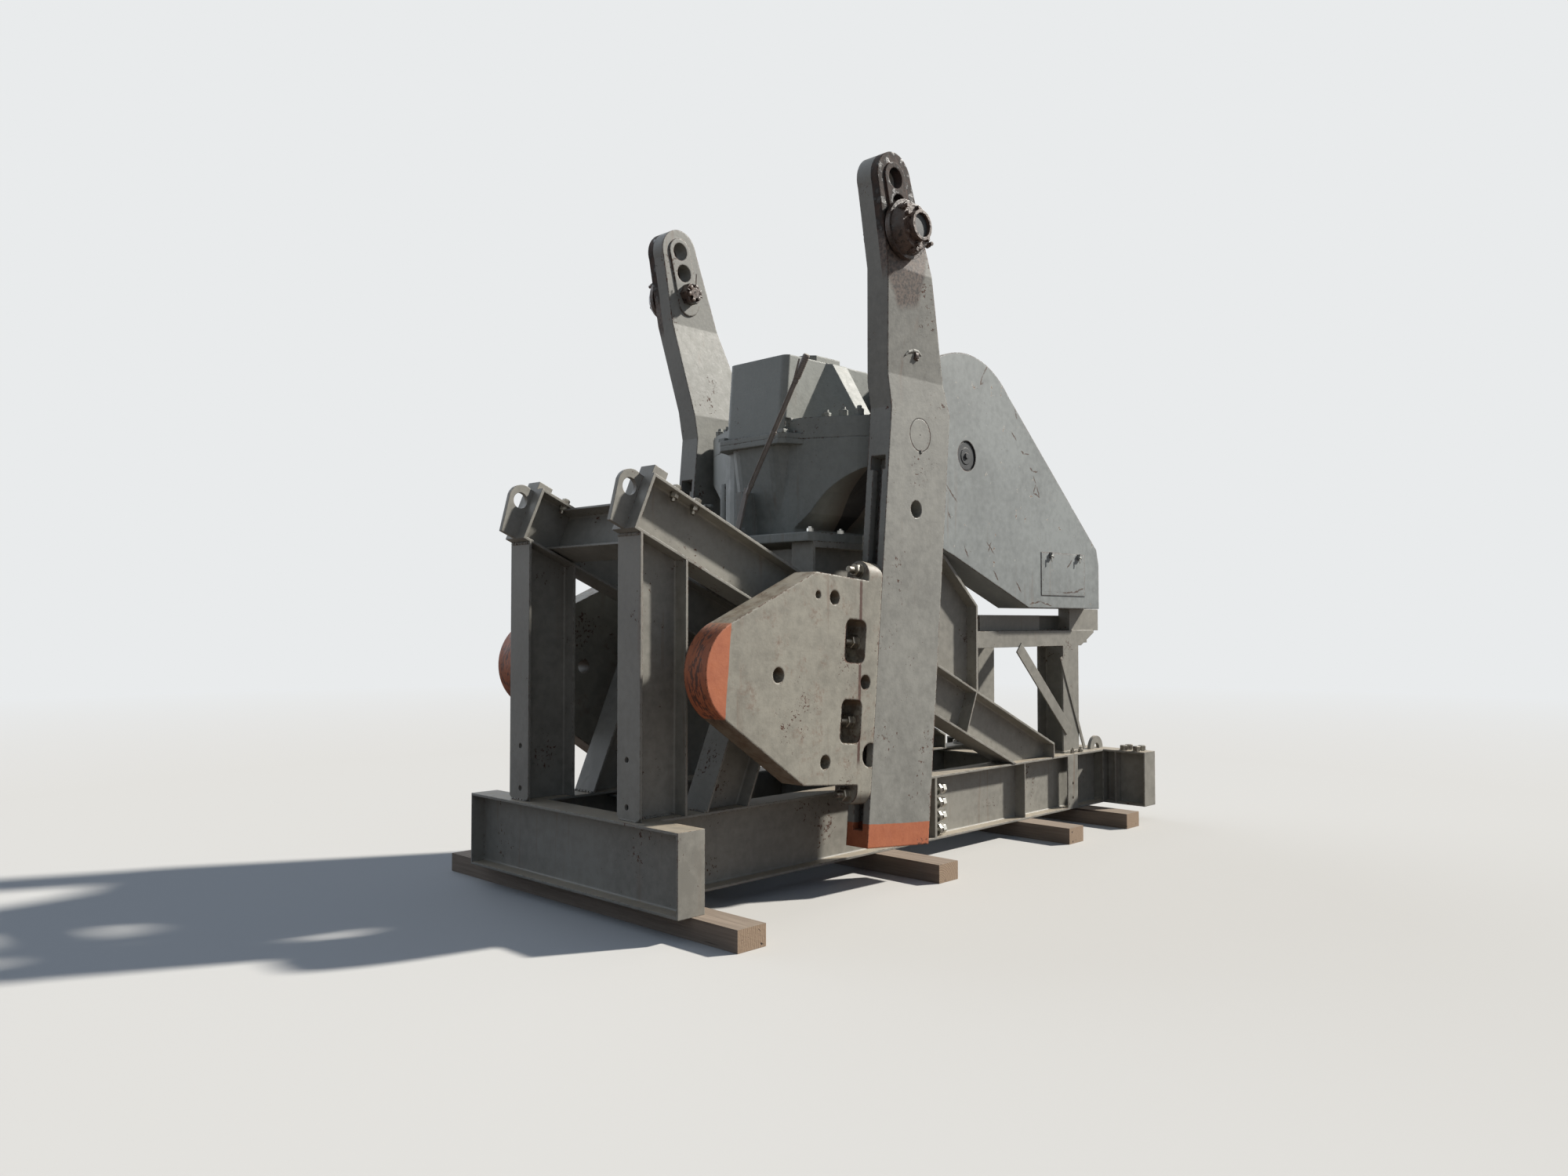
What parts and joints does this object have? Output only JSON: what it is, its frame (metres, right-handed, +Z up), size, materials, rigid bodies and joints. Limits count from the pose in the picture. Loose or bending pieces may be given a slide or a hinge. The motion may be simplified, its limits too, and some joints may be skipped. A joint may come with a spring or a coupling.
{
  "type": "pumpjack base unit",
  "caption": "Beam pumping unit base: timber-laid steel skid, inclined frame, gear case with phased cranks, ogive counterweights, belt guard and empty motor platform.",
  "frame": {"origin": "on the ground under the middle of the slow shaft", "axes": "+X runs to the rear along the skid, +Y to the far side away from the belt guard, +Z up"},
  "size_m": [5.5047, 2.83, 4.6914],
  "materials": {
    "frame_paint": "weathered",
    "cast_paint": "weathered",
    "guard_paint": "weathered",
    "bare_steel": "oiled and rusty",
    "greasy_iron": "greasy",
    "old_timber": "weathered"
  },
  "bodies": {
    "base": {"front_timber": "old_timber", "mid_timber": "old_timber", "rear_timber_a": "old_timber", "rear_timber_b": "old_timber", "near_skid_beam": "frame_paint", "far_skid_beam": "frame_paint", "front_cross_beam": "frame_paint", "rear_cross_beam": "frame_paint", "front_tie": "frame_paint", "middle_tie": "frame_paint", "rear_tie": "frame_paint", "near_front_post": "frame_paint", "far_front_post": "frame_paint", "near_ramp_beam": "frame_paint", "far_ramp_beam": "frame_paint", "upper_cross_beam": "frame_paint", "near_strut": "frame_paint", "far_strut": "frame_paint", "near_pedestal_side": "frame_paint", "far_pedestal_side": "frame_paint", "pedestal_front_wall": "frame_paint", "pedestal_rear_wall": "frame_paint", "gear_case_lower": "cast_paint", "gear_case_cover": "cast_paint", "gear_case_hatch": "cast_paint", "guard_outer_sheet": "guard_paint", "guard_inner_sheet": "guard_paint", "guard_rim": "guard_paint", "guard_door": "guard_paint", "motor_platform": "frame_paint", "near_motor_rail": "frame_paint", "far_motor_rail": "frame_paint"},
    "crank_set": {"crankshaft": "bare_steel", "near_crank": "cast_paint", "far_crank": "cast_paint", "near_counterweight": "cast_paint", "far_counterweight": "cast_paint", "near_crank_pin": "greasy_iron", "far_crank_pin": "greasy_iron"},
    "near_housing": {"near_pin_housing": "greasy_iron"},
    "far_housing": {"far_pin_housing": "greasy_iron"},
    "fast_shaft": {"input_shaft": "bare_steel"},
    "lever": {"brake_lever": "bare_steel"}
  },
  "joints": [
    {"name": "crank_turn", "type": "hinge", "parent": "base", "child": "crank_set", "pos_m": [0, 0, 2.937], "axis": [0, 1, 0], "continuous": true},
    {"name": "near_housing_turn", "type": "hinge", "parent": "crank_set", "child": "near_housing", "pos_m": [-0.31644, -1.2, 4.20617], "axis": [0, 1, 0], "continuous": true},
    {"name": "far_housing_turn", "type": "hinge", "parent": "crank_set", "child": "far_housing", "pos_m": [-0.31644, 1.2, 4.20617], "axis": [0, 1, 0], "continuous": true},
    {"name": "fast_shaft_turn", "type": "hinge", "parent": "base", "child": "fast_shaft", "pos_m": [1.013, 0, 2.937], "axis": [0, 1, 0], "continuous": true},
    {"name": "brake_turn", "type": "hinge", "parent": "base", "child": "lever", "pos_m": [-0.64, 0.06, 2.308], "axis": [1, 0, 0], "range_deg": [-14, 6]}
  ],
  "couplings": [
    {"joint": "fast_shaft_turn", "follows": "crank_turn", "ratio": 28.67}
  ]
}
